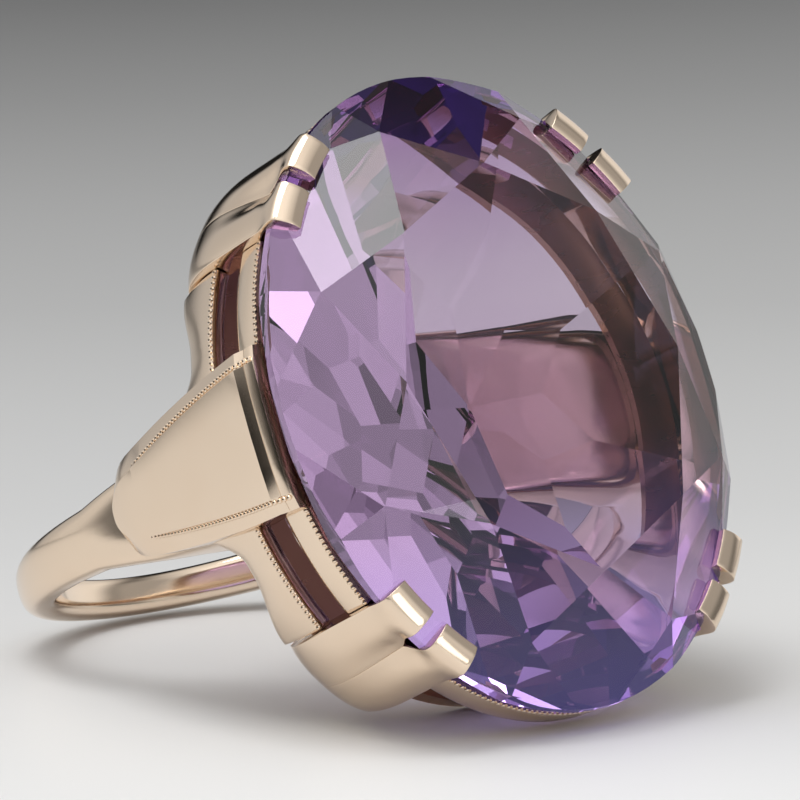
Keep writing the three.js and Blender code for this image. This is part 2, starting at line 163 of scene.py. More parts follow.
class StageSettings(bpy.types.PropertyGroup):
    azimuth: bpy.props.FloatProperty(
        name="Azimuth", description="Camera round the ring", default=math.radians(51.867),
        subtype="ANGLE")
    elevation: bpy.props.FloatProperty(
        name="Elevation", description="Camera over the floor", default=math.radians(9.143),
        subtype="ANGLE")
    roll: bpy.props.FloatProperty(
        name="Roll", description="Tilt of the camera", default=math.radians(-0.633),
        subtype="ANGLE")
    distance: length("Distance", 219.7, "Camera to the point it looks at")
    aim: bpy.props.FloatVectorProperty(
        name="Aim", description="Point the camera looks at, from the middle of the finger",
        subtype="TRANSLATION", default=(0.0059837, 0.0019489, 0.0054207))
    lens: number("Lens", 255.3, "Focal length in millimetres on a 36 mm sensor")
    floor_near: colour("Near floor", (0.82, 0.82, 0.815, 1), "Floor in front of the ring")
    # painted shade: the floor's colour far behind the ring, darker where the light falls off
    floor_far_shade: colour("Far floor", (0.20, 0.20, 0.20, 1), "Floor far behind the ring")


GROUPS = {
    "ring_stone": StoneSettings, "ring_gold": GoldSettings, "ring_shank": ShankSettings,
    "ring_shoulder": ShoulderSettings, "ring_gallery": GallerySettings,
    "ring_claws": ClawSettings, "ring_stage": StageSettings,
}


def sizes(group):
    """The settings of one group, lengths turned to millimetres."""
    held = getattr(bpy.context.scene, group)
    found = {}
    for key, prop in held.bl_rna.properties.items():
        if key not in ("rna_type", "name"):
            value = getattr(held, key)
            found[key] = value / MM if getattr(prop, "unit", "") == "LENGTH" \
                and not getattr(prop, "is_array", False) else value
    return type("Sizes", (), found)


# ----------------------------------------------------------------- materials
class Wire:
    """A socket of a node tree; arithmetic on it adds Math nodes."""

    def __init__(self, tree, socket):
        self.tree, self.socket = tree, socket

    def reckon(self, operation, first, second):
        node = self.tree.nodes.new("ShaderNodeMath")
        node.operation = operation
        for place, value in zip(node.inputs, (first, second)):
            if isinstance(value, Wire):
                self.tree.links.new(value.socket, place)
            else:
                place.default_value = value
        return Wire(self.tree, node.outputs[0])

    def __add__(self, other):
        return self.reckon("ADD", self, other)

    __radd__ = __add__

    def __mul__(self, other):
        return self.reckon("MULTIPLY", self, other)

    def __sub__(self, other):
        return self.reckon("SUBTRACT", self, other)


class Finish:
    """A material whose nodes are added one by one."""

    def __init__(self, name, holders=None):
        self.material = (bpy.data.materials if holders is None else holders).new(name)
        self.material.use_nodes = True
        self.tree = self.material.node_tree
        self.tree.nodes.clear()

    def add(self, kind, settings=(), **inputs):
        """Adds a node of a kind; settings are set first, then its sockets by name."""
        node = self.tree.nodes.new(kind)
        for key, value in dict(settings).items():
            if key == "stops":
                for stop, (place, shade) in enumerate(value):
                    ramp = node.color_ramp.elements
                    spot = ramp[stop] if stop < 2 else ramp.new(place)
                    spot.position, spot.color = place, shade
            else:
                setattr(node, key, value)
        for key, value in inputs.items():
            socket = next(s for s in node.inputs
                          if s.name.replace(" ", "_").lower() == key and s.enabled)
            if isinstance(value, Wire):
                self.tree.links.new(value.socket, socket)
            else:
                socket.default_value = value
        return node

    def wire(self, node, name=None):
        outputs = [s for s in node.outputs if s.enabled]
        socket = outputs[0] if name is None else next(s for s in outputs if s.name == name)
        return Wire(self.tree, socket)

    def place(self, scale, turn=(0, 0, 0)):
        """Object coordinates, scaled and turned."""
        where = self.wire(self.add("ShaderNodeTexCoord"), "Object")
        return self.wire(self.add(
            "ShaderNodeMapping", vector=where, scale=scale, rotation=turn))

    def noise(self, scale, stretch=(1, 1, 1), turn=(0, 0, 0), detail=3.0, distortion=0.0):
        return self.wire(self.add(
            "ShaderNodeTexNoise", vector=self.place(stretch, turn), scale=scale,
            detail=detail, distortion=distortion), "Fac")

    def blend(self, share, first, second):
        return self.wire(self.add(
            "ShaderNodeMix", {"data_type": "RGBA"}, factor=share, a=first, b=second))

    def finish(self, surface, volume=None):
        output = self.tree.nodes.new("ShaderNodeOutputMaterial")
        self.tree.links.new(self.wire(surface).socket, output.inputs["Surface"])
        if volume:
            self.tree.links.new(self.wire(volume).socket, output.inputs["Volume"])
        return self.material


# noise cells per metre in the gold, and the shares of lines and dents in its bump
PATCH_SCALE, WIPE_SCALE, LINE_SCALE, DENT_SCALE = 230.0, 900.0, 5200.0, 380.0
LINE_DEPTH, DENT_DEPTH = 0.7, 1.6


def gold_finish(name, dullness=0.0, tint=(1, 1, 1)):
    """Polished pale gold: faint rosy patches, hazy wipe marks and fine polishing lines."""
    gold = sizes("ring_gold")
    finish = Finish(name)
    patches = finish.noise(PATCH_SCALE, detail=2.0)
    wipes = finish.noise(WIPE_SCALE, (1.0, 0.35, 1.6), (0.4, 0.7, 0.2), detail=4.0,
                         distortion=0.6)
    lines = finish.noise(LINE_SCALE, (0.07, 1.0, 1.0), (0.2, 0.5, 0.9), detail=2.0)
    dents = finish.noise(DENT_SCALE, detail=1.0)
    grain = lines * LINE_DEPTH + dents * DENT_DEPTH
    bump = finish.add("ShaderNodeBump", strength=0.35, distance=gold.scratch_depth * MM,
                      height=grain)
    # a tint below 1 darkens the gold; it is used as painted shade inside the gallery
    pale, rosy = ([c * t for c, t in zip(shade[:3], tint)] + [1.0]
                  for shade in (gold.pale, gold.rosy))
    return finish.finish(finish.add(
        "ShaderNodeBsdfPrincipled", base_color=finish.blend(patches, pale, rosy),
        roughness=wipes * gold.haze + (gold.polish + dullness),
        metallic=1.0, normal=finish.wire(bump)))


NONE, FULL = (0, 0, 0, 1), (1, 1, 1, 1)
CLOUD_SCALE, CLOUD_SHIFT = 95.0, 0.12  # wavering of the colour zones
RIM_SHADE_REACH = 3.2  # how far under the girdle the painted red-brown shade goes, in millimetres
# painted light: the emission ramp makes the stone glow faintly violet, strongest at its lower
# end
# The first two stops of each are the two that a ramp starts with; the others are added.
PAINTED_GLOW_STOPS = [(0.0, (0.018, 0.014, 0.064, 1)), (1.0, (0.0008, 0.0, 0.0008, 1)),
               (0.20, (0.012, 0.008, 0.036, 1)), (0.38, NONE), (0.72, NONE)]
# where the painted red-brown rim shade falls: a band under the girdle, along the middle of the
# stone's length
RIM_SHADE_STOPS = [(0.0, NONE), (0.97, FULL), (0.35, NONE), (0.5, FULL), (1.0, NONE)]
MIDDLE_STOPS = [(0.16, NONE), (0.84, NONE), (0.3, FULL), (0.7, FULL)]


def stone_finish(name):
    """Clear lilac quartz, violet towards both ends, with a faint painted violet glow and
    red-brown shade painted under the girdle.
    """
    stone = sizes("ring_stone")
    finish = Finish(name)
    parts = finish.add("ShaderNodeSeparateXYZ", vector=finish.place((1, 1, 1)))
    spot = [finish.wire(parts, axis) for axis in "XYZ"]

    def measured(axis, low, high):
        """Share of the way between two places on one of the ring's own axes."""
        span = (high - low) * MM
        line = RING.col[axis].to_3d().normalized()
        start = RING.translation.dot(line) + low * MM
        way = spot[0] * line.x + spot[1] * line.y + spot[2] * line.z
        return (way - start) * (1 / span)

    def faded(shade, share):
        return [b + (c - b) * share for b, c in zip(stone.body[:3], shade[:3])] + [1.0]

    cloud = finish.noise(CLOUD_SCALE, (1.0, 1.0, 0.5), detail=1.0)
    along = measured(2, STONE[0].z, STONE[1].z) + (cloud - 0.5) * CLOUD_SHIFT
    zones = finish.add("ShaderNodeValToRGB", {"stops": [
        (0.02, stone.lower_end), (1.0, stone.upper_end), (0.16, faded(stone.lower_end, 0.55)),
        (0.32, stone.body), (0.66, stone.body), (0.84, faded(stone.upper_end, 0.5))]},
        fac=along)
    painted_glow = finish.add("ShaderNodeValToRGB", {"stops": PAINTED_GLOW_STOPS}, fac=along)
    # painted shade: the pavilion just under the girdle, along the middle of the stone's length,
    # is coloured red-brown
    girdle = girdle_levels()[0]
    under = finish.add("ShaderNodeValToRGB", {"stops": RIM_SHADE_STOPS},
                       fac=measured(0, girdle - RIM_SHADE_REACH, girdle))
    middle = finish.add("ShaderNodeValToRGB", {"stops": MIDDLE_STOPS},
                        fac=measured(2, STONE[0].z, STONE[1].z))
    surface = finish.add(
        "ShaderNodeBsdfPrincipled",
        base_color=finish.blend(finish.wire(under, "Color") * finish.wire(middle, "Color"),
                                finish.wire(zones, "Color"), stone.rim),
        roughness=0.0, metallic=0.0, ior=stone.refraction, transmission_weight=1.0,
        # painted light: the emission is a faint violet glow, not a lamp
        emission_color=finish.wire(painted_glow, "Color"), emission_strength=1.0)
    depth = finish.add("ShaderNodeVolumeAbsorption", color=stone.depth_colour,
                       density=stone.depth_density)
    return finish.finish(surface, depth)


# share of the near colour at each place on the floor's ramp; the fall to the far colour is
# painted shade in place of the light falling off
FLOOR_SHADE_FADE = [(0.0, 1.0), (0.055, 0.89), (0.11, 0.81), (0.18, 0.67), (0.27, 0.563),
              (0.38, 0.425), (0.53, 0.324), (0.73, 0.167), (1.0, 0.0)]
FADE_PER_METRE, FADE_AT_RING = 3.1, 0.07
SPECKLE_SCALE, SPECKLE_HEIGHT = 2500.0, 0.00002


def floor_finish(name):
    """Pale card whose colour darkens evenly away from the camera, painted shade in place of the
    light falling off.
    """
    stage = sizes("ring_stage")
    finish = Finish(name)
    away = stage.azimuth + math.pi
    where = finish.wire(finish.add("ShaderNodeTexCoord"), "Object")
    parts = finish.add("ShaderNodeSeparateXYZ", vector=where)
    depth = (finish.wire(parts, "X") * math.sin(away)
             + finish.wire(parts, "Y") * -math.cos(away))
    near, far = stage.floor_near, stage.floor_far_shade
    stops = [(place, [f + (n - f) * share for n, f in zip(near[:3], far[:3])] + [1.0])
             for place, share in FLOOR_SHADE_FADE]
    ramp = finish.add("ShaderNodeValToRGB", {"stops": stops},
                      fac=depth * FADE_PER_METRE + FADE_AT_RING)
    speckle = finish.noise(SPECKLE_SCALE, detail=2.0)
    bump = finish.add("ShaderNodeBump", strength=0.08, distance=SPECKLE_HEIGHT,
                      height=speckle)
    return finish.finish(finish.add(
        "ShaderNodeBsdfPrincipled", base_color=finish.wire(ramp, "Color"), roughness=0.5,
        normal=finish.wire(bump)))


STUDIO_BASE = 0.24  # light that comes from everywhere
# way to the patch, cosine where it starts and where it is full, strength
STUDIO_GLOWS = (
    ((0.08, -0.30, 1), 0.50, 0.90, 0.95),  # overhead
    ((1, 0.1, 0.15), 0.75, 0.94, 0.50),  # low, in front on the right
    ((-0.85, -0.42, 0.32), 0.72, 0.93, 0.70),  # left, a little behind
    ((0.75, -0.3, 0.65), 0.70, 0.95, 0.45),  # above the camera
    ((-0.25, 0.93, 0.22), 0.80, 0.96, 1.0),  # low, behind on the right
    ((0.62, 0.60, 0.50), 0.86, 0.97, 0.28),  # high on the right
)
STUDIO_SHADES = (
    ((-0.85, 0.42, 0.30), 0.50, 0.85, 0.23),  # behind the ring
    ((0.30, -0.94, 0.12), 0.78, 0.94, 0.22),  # low, in front on the left
)


def studio_world():
    """A soft tent: an even base light with brighter and darker patches."""
    tent = Finish("studio", bpy.data.worlds)
    parts = tent.add("ShaderNodeSeparateXYZ",
                     vector=tent.wire(tent.add("ShaderNodeTexCoord"), "Generated"))
    x, y, z = (tent.wire(parts, axis) for axis in "XYZ")

    def glow(towards, start, end, strength):
        towards = Vector(towards).normalized()
        facing = x * towards.x + y * towards.y + z * towards.z
        return tent.wire(tent.add(
            "ShaderNodeMapRange", {"interpolation_type": "SMOOTHSTEP"}, value=facing,
            from_min=start, from_max=end, to_min=0.0, to_max=strength))

    light = sum((glow(*patch) for patch in STUDIO_GLOWS), STUDIO_BASE)
    for patch in STUDIO_SHADES:
        light = light - glow(*patch)
    tent.tree.links.new(
        tent.wire(tent.add("ShaderNodeBackground", strength=light)).socket,
        tent.tree.nodes.new("ShaderNodeOutputWorld").inputs["Surface"])
    return tent.material


# ------------------------------------------------------------------- shaping
def mix(low, high, share):
    """Value a share of the way from low to high."""
    return low + (high - low) * share


def clamp(value):
    """The value, kept between 0 and 1."""
    return min(1.0, max(0.0, value))


def smooth(value):
    """A soft step from 0 to 1."""
    value = clamp(value)
    return value * value * (3 - 2 * value)


def follow(knots, at):
    """Value of a smooth curve through rising (place, value) knots."""
    last = len(knots) - 1
    step = next((i for i in range(last) if at <= knots[i + 1][0]), last - 1)
    (p1, v1), (p2, v2) = knots[step], knots[step + 1]
    p0, v0 = knots[max(step - 1, 0)]
    p3, v3 = knots[min(step + 2, last)]
    share, span = clamp((at - p1) / (p2 - p1)), p2 - p1
    m1 = (v2 - v0) / (p2 - p0) * span
    m2 = (v3 - v1) / (p3 - p1) * span
    s2, s3 = share * share, share ** 3
    return ((2 * s3 - 3 * s2 + 1) * v1 + (s3 - 2 * s2 + share) * m1
            + (3 * s2 - 2 * s3) * v2 + (s3 - s2) * m2)


def begin(name, add, **where):
    """Adds a primitive with nothing else selected, and names it."""
    bpy.ops.object.select_all(action="DESELECT")
    add(**where)
    piece = bpy.context.object
    piece.name = piece.data.name = name
    return piece


def edit(piece, kind="VERT"):
    """Enters edit mode on one piece with nothing selected."""
    bpy.ops.object.select_all(action="DESELECT")
    bpy.context.view_layer.objects.active = piece
    piece.select_set(True)
    bpy.ops.object.mode_set(mode="EDIT")
    bpy.ops.mesh.select_mode(type=kind)
    bpy.ops.mesh.select_all(action="DESELECT")


def pick(piece, test):
    """In edit mode, selects the edges that pass a test."""
    bpy.ops.mesh.select_all(action="DESELECT")
    shape = bmesh.from_edit_mesh(piece.data)
    for edge in shape.edges:
        if test(edge):
            edge.select_set(True)
    bmesh.update_edit_mesh(piece.data)


def runs_along(edge, axis):
    """Whether an edge lies along one axis."""
    line = edge.verts[1].co - edge.verts[0].co
    return abs(line[axis]) > 0.99 * line.length


def block(name, cuts):
    """A unit block with its low corner at the origin, cut evenly along each axis."""
    piece = begin(name, bpy.ops.mesh.primitive_cube_add, size=1, location=(0.5, 0.5, 0.5))
    bpy.ops.object.transform_apply(location=True, rotation=False, scale=False)
    edit(piece, "EDGE")
    for axis, count in enumerate(cuts):
        if count:
            pick(piece, lambda edge: runs_along(edge, axis))
            bpy.ops.mesh.subdivide(number_cuts=count)
    bpy.ops.object.mode_set(mode="OBJECT")
    return piece


def mould(piece, send):
    """Sends each vertex of a piece to its place in the ring's own frame."""
    for vertex in piece.data.vertices:
        vertex.co = send(vertex.co)
    piece.data.update()


def tidy(piece, merge=0.004):
    """Closes seams and turns the faces outwards."""
    edit(piece)
    bpy.ops.mesh.select_all(action="SELECT")
    bpy.ops.mesh.remove_doubles(threshold=merge)
    bpy.ops.mesh.normals_make_consistent(inside=False)
    bpy.ops.object.mode_set(mode="OBJECT")
    return piece


def apply_modifier(piece, kind, **settings):
    """Adds one modifier and applies it."""
    bpy.ops.object.select_all(action="DESELECT")
    bpy.context.view_layer.objects.active = piece
    piece.select_set(True)
    modifier = piece.modifiers.new(kind.title(), kind)
    for key, value in settings.items():
        setattr(modifier, key, value)
    bpy.ops.object.modifier_apply(modifier=modifier.name)
    return piece


def round_edges(piece, width, segments=2, angle=32):
    """Rounds a piece's sharp edges."""
    return apply_modifier(piece, "BEVEL", width=width, segments=segments,
                          limit_method="ANGLE", angle_limit=math.radians(angle))


def join(pieces):
    """Joins pieces into the first one."""
    bpy.ops.object.select_all(action="DESELECT")
    for piece in pieces:
        piece.select_set(True)
    bpy.context.view_layer.objects.active = pieces[0]
    bpy.ops.object.join()
    return pieces[0]


def lay_down(piece, material, nodes, flat=False, smooth_angle=30):
    """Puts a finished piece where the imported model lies, with its finish and its node."""
    bpy.ops.object.select_all(action="DESELECT")
    bpy.context.view_layer.objects.active = piece
    piece.select_set(True)
    if flat:
        bpy.ops.object.shade_flat()
    else:
        bpy.ops.object.shade_smooth_by_angle(angle=math.radians(smooth_angle))
    piece.matrix_world = RING @ piece.matrix_world
    bpy.ops.object.transform_apply(location=True, rotation=True, scale=True)
    piece.data.materials.clear()
    piece.data.materials.append(material)
    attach(piece, "root")
    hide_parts(*nodes)


# ---------------------------------------------------------------- ring shape
HALF_WIDTH, HALF_LENGTH = STONE[1].y, STONE[1].z


def oval_point(angle, outside, height):
    """Point at an angle from the +z end, a distance outside the girdle line, and a height."""
    normal = Vector((HALF_LENGTH * math.sin(angle), HALF_WIDTH * math.cos(angle))).normalized()
    return Vector((height, HALF_WIDTH * math.sin(angle) + outside * normal.x,
                   HALF_LENGTH * math.cos(angle) + outside * normal.y))


def oval_turn(run, angle):
    """Angle that a length along the girdle takes up."""
    return run / math.hypot(HALF_WIDTH * math.cos(angle), HALF_LENGTH * math.sin(angle))


def girdle_levels():
    """Lower and upper height of the girdle."""
    stone = sizes("ring_stone")
    return STONE[0].x + stone.pavilion_depth, STONE[1].x - stone.crown_height


BEAD_SIDES, BEAD_RINGS = 8, 5


def milgrain(name, path):
    """Beads of one size, set along a path of points."""
    gallery = sizes("ring_gallery")
    runs = [(b - a).length for a, b in zip(path, path[1:])]
    count = max(2, round(sum(runs) / gallery.pitch))
    first = begin(name, bpy.ops.mesh.primitive_uv_sphere_add, segments=BEAD_SIDES,
                  ring_count=BEAD_RINGS, radius=gallery.bead / 2)
    beads, shape = [], first.data
    for index in range(count):
        left = (index + 0.5) / count * sum(runs)
        step = 0
        while step < len(runs) - 1 and left > runs[step]:
            left -= runs[step]
            step += 1
        bead = first if not beads else first.copy()
        if beads:
            bead.data = shape.copy()
            bpy.context.scene.collection.objects.link(bead)
        bead.location = path[step].lerp(path[step + 1], left / runs[step])
        beads.append(bead)
    join(beads)
    bpy.ops.object.transform_apply(location=True, rotation=False, scale=False)
    return first


# -------------------------------------------------------------------- pieces
# Bare lengths below are millimetres.
FACETS = 8  # main facets round the crown, and round the pavilion
FACET_TURN = 360 / FACETS
# steepness of each set of facets over the plain slope of the crown or pavilion
STAR_SLOPE, UPPER_BREAK_SLOPE = 0.58, 1.34
PAVILION_SLOPE, LOWER_BREAK_SLOPE, CULET_SLOPE = 1.06, 1.42, 0.74
STAR_REACH = 0.925  # of the table's half width
BREAK_REACH = 0.9985  # of the girdle's radius
PAVILION_REACH = 0.94  # share of the radius over which the pavilion falls
CULET_REACH, CULET_LEVEL = 0.52, 0.60  # of the radius, and of the pavilion's depth
ROUGH_SIDES = 96  # of the girdle, before the facets
CUT_MERGE, FACET_MERGE = 0.00001, 0.02  # corners this close become one


class RING_OT_stone(bpy.types.Operator):
    """Cuts the oval amethyst facet by facet"""
    bl_idname = "ring.stone"
    bl_label = "Amethyst"

    def execute(self, context):
        stone = sizes("ring_stone")
        low, high = girdle_levels()
        depth, height = stone.pavilion_depth, stone.crown_height
        rough = begin("amethyst_cut", bpy.ops.mesh.primitive_cylinder_add, vertices=ROUGH_SIDES,
                      radius=1, depth=depth + height + high - low,
                      location=(0, 0, (STONE[0].x + STONE[1].x) / 2))
        bpy.ops.object.transform_apply(location=True, rotation=True, scale=True)
        edit(rough)
        table = stone.table_share

        def cut(turn, radius, level, steepness):
            """Cuts one facet through a point, its normal rising by its steepness."""
            angle = math.radians(turn)
            out = Vector((math.cos(angle), math.sin(angle), 0))
            bpy.ops.mesh.select_all(action="SELECT")
            bpy.ops.mesh.bisect(
                plane_co=out * radius + Vector((0, 0, level)),
                plane_no=(out * steepness[0] + Vector((0, 0, steepness[1]))).normalized(),
                use_fill=True, clear_outer=True, threshold=CUT_MERGE)

        half, quarter = FACET_TURN / 2, FACET_TURN / 4
        rise = height / (1 - table)
        for facet in range(FACETS):
            turn = FACET_TURN * facet
            cut(turn, 1, high, (rise, 1))
            cut(turn + half, table * STAR_REACH, high + height, (rise * STAR_SLOPE, 1))
            for side in (-quarter, quarter):
                cut(turn + side, BREAK_REACH, high, (rise * UPPER_BREAK_SLOPE, 1))
        fall = depth / PAVILION_REACH
        for facet in range(FACETS):
            turn = FACET_TURN * facet + half
            cut(turn - half, 1, low, (fall * PAVILION_SLOPE, -1))
            for side in (-quarter, quarter):
                cut(turn + side, BREAK_REACH, low, (fall * LOWER_BREAK_SLOPE, -1))
            cut(turn, CULET_REACH, low - depth * CULET_LEVEL, (fall * CULET_SLOPE, -1))
        bpy.ops.object.mode_set(mode="OBJECT")
        mould(rough, lambda p: Vector((p.z, -p.y * HALF_WIDTH, p.x * HALF_LENGTH)))
        tidy(rough, FACET_MERGE)
        lay_down(rough, stone_finish("amethyst"), ["amethyst"], flat=True)
        return {"FINISHED"}


FLARE_START, FLARE_SPAN = 80, 45  # degrees from the head, and over how many it flares
ROUND_START, ROUND_SPAN = 40, 50  # the same for the section, from flat to rounded
FLAT_POWER, ROUND_POWER, BORE_POWER = 5.0, 2.6, 4.0  # squareness of the section
BAND_STEPS, SECTION_STEPS = 240, 40
BAND_SMOOTHING = 40  # degrees; sharper edges stay sharp


def shank_half_width(turn, shank):
    """Half the band's width at an angle from the head."""
    degrees = math.degrees(abs(turn))
    if degrees > FLARE_START:
        share = math.sin((degrees - FLARE_START) / (180 - FLARE_START) * math.pi / 2)
        return mix(shank.width_side, shank.width_back, share) / 2
    share = clamp((FLARE_START - degrees) / FLARE_SPAN)
    return mix(shank.width_side, shank.width_head, share) / 2


def shank_outer_radius(turn, shank):
    """Outer radius at an angle: round behind the finger, flat at the arms and the seat."""
    round_radius = shank.finger_diameter / 2 + shank.thickness
    reach = round_radius * abs(math.sin(turn))
    if math.cos(turn) < 0 or reach > shank.arm_spread / 2:
        return round_radius
    flat = round_radius * shank.arm_spread / 2 / max(reach, 0.01)
    return min(flat, BAND[1].x / math.cos(turn))


class RING_OT_shank(bpy.types.Operator):
    """Turns the band, rounds it and flares its arms to the head"""
    bl_idname = "ring.shank"
    bl_label = "Shank"

    def execute(self, context):
        shank = sizes("ring_shank")
        band = begin("shank_band", bpy.ops.mesh.primitive_torus_add,
                     major_segments=BAND_STEPS, minor_segments=SECTION_STEPS,
                     major_radius=2, minor_radius=1)
        inner = shank.finger_diameter / 2

        def send(spot):
            turn = math.atan2(spot.y, spot.x)
            out, side = math.hypot(spot.x, spot.y) - 2, spot.z
            level = smooth((math.degrees(abs(turn)) - ROUND_START) / ROUND_SPAN)
            power = mix(FLAT_POWER, ROUND_POWER, level) if out > 0 else BORE_POWER
            fill = (abs(out) ** power + abs(side) ** power) ** (-1 / power)
            outer = shank_outer_radius(turn, shank)
            radius = mix(inner, outer, (1 + out * fill) / 2)
            return Vector((radius * math.cos(turn), radius * math.sin(turn),
                           shank_half_width(turn, shank) * side * fill))

        mould(band, send)
        lay_down(tidy(band), gold_finish("shank_gold"), ["shank"],
                 smooth_angle=BAND_SMOOTHING)
        return {"FINISHED"}


SOLDER_GAP = 0.03  # between a plaque's back and the band's flat arm
SEAM = 0.02  # clearance of a rail's ends
RAIL_BACK = 0.75  # inner face of the rails, inside the girdle line
# height where the plaque's back steps out to the rails, and over what height it does
BACK_STEP, BACK_SPAN = 12.3, 1.4
FOOT_ROWS, FOOT_STEP = (0, 0.05, 0.14, 0.28, 0.5, 0.8, 1.2), 1.1  # shares of a height
FACE_ROWS = 14
TIP_ROWS = (0.42, 0.52, 1)  # shares of the tip facet's length
TIP_DROPS = [(0, 0), (0.42, 0.42), (0.52, 0.36), (1, 0.62)]  # shares of its drop
FACE_COLUMNS = (-1, -0.95, -0.5, 0, 0.5, 0.95, 1)  # shares of the face's half width
FOOT_ROUNDING, FOOT_NARROW = 1.25, 0.62  # height of the round foot, share of width it keeps
FACE_CROWN = 0.12  # how far the middle of the face stands out
FOOT_SINK, FOOT_SINK_SPAN = 0.10, 1.6  # how far the foot falls back, over what height
BORDER_FOOT, BORDER_HEAD, BORDER_EASE = 1.35, 0.75, 0.7  # border's width over its setting
BORDER_FALL = 0.38  # how far a border slopes back, over its width
# groove beside the beads: depth, height over the foot where it starts, height it takes
GROOVE_DEPTH, GROOVE_START, GROOVE_SPAN = 0.09, 1.2, 2
THINNEST = 0.12  # of the plaque's edge
CUTTER_SIDES, CUTTER_LENGTH, CUTTER_GAP = 240, 20, 0.01  # leaves room for the band
PLAQUE_ROUNDING, PLAQUE_ANGLE = 0.05, 24
# a border's beads: points on their path, distance from foot, top and border, and how deep
# they sit at the foot and further up, with the number of points between the two
ROW_POINTS, ROW_FOOT, ROW_TOP, ROW_SHIFT = 30, 1.9, 0.05, 0.01
ROW_SINK_FOOT, ROW_SINK, ROW_SINK_POINTS = 0.12, 0.035, 10


def plaque_half_width(height, plaque):
    """Half the keystone's width at a height."""
    share = clamp((height - PLAQUE[0].x) / (PLAQUE[1].x - PLAQUE[0].x))
    swell = plaque.swell * 4 * share * (1 - share)
    return mix(plaque.width_foot, plaque.width_head, share) / 2 + swell


class RING_OT_shoulders(bpy.types.Operator):
    """Shapes the two keystone shoulders with their milgrained borders"""
    bl_idname = "ring.shoulders"
    bl_label = "Shoulders"

    def execute(self, context):
        plaque, shank = sizes("ring_shoulder"), sizes("ring_shank")
        foot, top = PLAQUE[0].x, PLAQUE[1].x
        back = shank.arm_spread / 2 + SOLDER_GAP
        face = back + plaque.thickness
        tip = top - plaque.tip_length
        rail_back = HALF_WIDTH - RAIL_BACK
        levels = [foot + FOOT_STEP * share for share in FOOT_ROWS]
        levels += [mix(levels[-1], tip, i / FACE_ROWS) for i in range(1, FACE_ROWS + 1)]
        levels += [mix(tip, top, share) for share in TIP_ROWS]
        last = len(FACE_COLUMNS) + 1

        def outline(height):
            """Half width with the rounded foot."""
            rounding = clamp((height - foot) / FOOT_ROUNDING)
            return plaque_half_width(height, plaque) * mix(
                FOOT_NARROW, 1, math.sqrt(1 - (1 - rounding) ** 2))

        def face_at(height, across):
            """How far out the face lies: crowned, turned in at the tip, sunk at the foot."""
            half = outline(height)
            past_tip = clamp((height - tip) / (top - tip))
            drop = plaque.tip_drop * follow(TIP_DROPS, past_tip)
            sink = FOOT_SINK * (1 - smooth((height - foot) / FOOT_SINK_SPAN)) ** 2
            return face + FACE_CROWN * (1 - (across / half) ** 2) - drop - sink

        def border(height):
            """Width of the sloping border, wider towards the foot."""
            share = clamp((height - foot) / (top - foot))
            return plaque.bevel * mix(BORDER_FOOT, BORDER_HEAD, share ** BORDER_EASE)

        for side, place in ((-1, "left"), (1, "right")):
            slab = block(f"shoulder_{place}_plaque",
                         (len(FACE_COLUMNS), 0, len(levels) - 2))

            def send(spot):
                height = levels[round(spot.z * (len(levels) - 1))]
                half = outline(height)
                step = round(spot.x * last)
                edge = step in (0, last)
                inner = mix(back, rail_back, smooth((height - BACK_STEP) / BACK_SPAN))
                if edge:
                    across = half if step else -half
                    outer = max(face_at(height, across) - border(height) * BORDER_FALL,
                                inner + THINNEST)
                else:
                    across = (half - border(height)) * FACE_COLUMNS[step - 1]
                    groove = GROOVE_DEPTH * smooth((height - foot - GROOVE_START) / GROOVE_SPAN)
                    outer = face_at(height, across) - (groove if step in (1, last - 1) else 0)
                return Vector((height, side * (outer if spot.y > 0.5 else inner),
                               -side * across))

            mould(slab, send)
            tidy(slab)
            cutter = begin("band_cutter", bpy.ops.mesh.primitive_cylinder_add,
                           vertices=CUTTER_SIDES, depth=CUTTER_LENGTH,
                           radius=shank.finger_diameter / 2 + shank.thickness + CUTTER_GAP)
            apply_modifier(slab, "BOOLEAN", operation="DIFFERENCE", object=cutter,
                           solver="EXACT")
            bpy.data.objects.remove(cutter)
            round_edges(tidy(slab), PLAQUE_ROUNDING, angle=PLAQUE_ANGLE)
            borders = []
            for hand in (-1, 1):
                path = []
                for i in range(ROW_POINTS):
                    height = mix(foot + ROW_FOOT, top - ROW_TOP, i / (ROW_POINTS - 1))
                    across = hand * (outline(height) - border(height) + ROW_SHIFT)
                    sink = mix(ROW_SINK_FOOT, ROW_SINK, smooth(i / ROW_SINK_POINTS))
                    path.append(Vector((height, side * (face_at(height, across) - sink),
                                        across)))
                borders.append(milgrain("shoulder_milgrain", path))
            slab = join([slab] + borders)
            lay_down(slab, gold_finish(f"shoulder_{place}_gold"),
                     [f"shoulder_{place}"])
        return {"FINISHED"}


def shoulder_angle(height):
    """Angle on the oval where a side rail meets the plaque's flank."""
    plaque = sizes("ring_shoulder")
    return math.acos((plaque_half_width(height, plaque) + SEAM) / HALF_LENGTH)


CORNER = math.radians(45)


def claw_flank():
    """Angle on the oval, from its end, where a pair of claws stops."""
    claws = sizes("ring_claws")
    return CORNER + oval_turn(claws.width + claws.gap / 2 + SEAM, CORNER)


# side rails: name, angle of the end they start from, and whether they run backwards
QUARTERS = (("right_upper", 0, False), ("right_lower", math.pi, True),
            ("left_lower", math.pi, False), ("left_upper", 2 * math.pi, True))


RAIL_CUTS, LEAN_CUTS = 27, 7  # along a rail, and up a leaning one
RAIL_ROUNDING = 0.06
BEAD_POINTS, BEAD_SINK = 41, 0.08  # of a rail's beads: points on their path, depth
DIP_RATE = 1.6  # how soon the dip beside the claws fades out
FILLET_START = 0.72  # share of the rail's length where the fillet begins


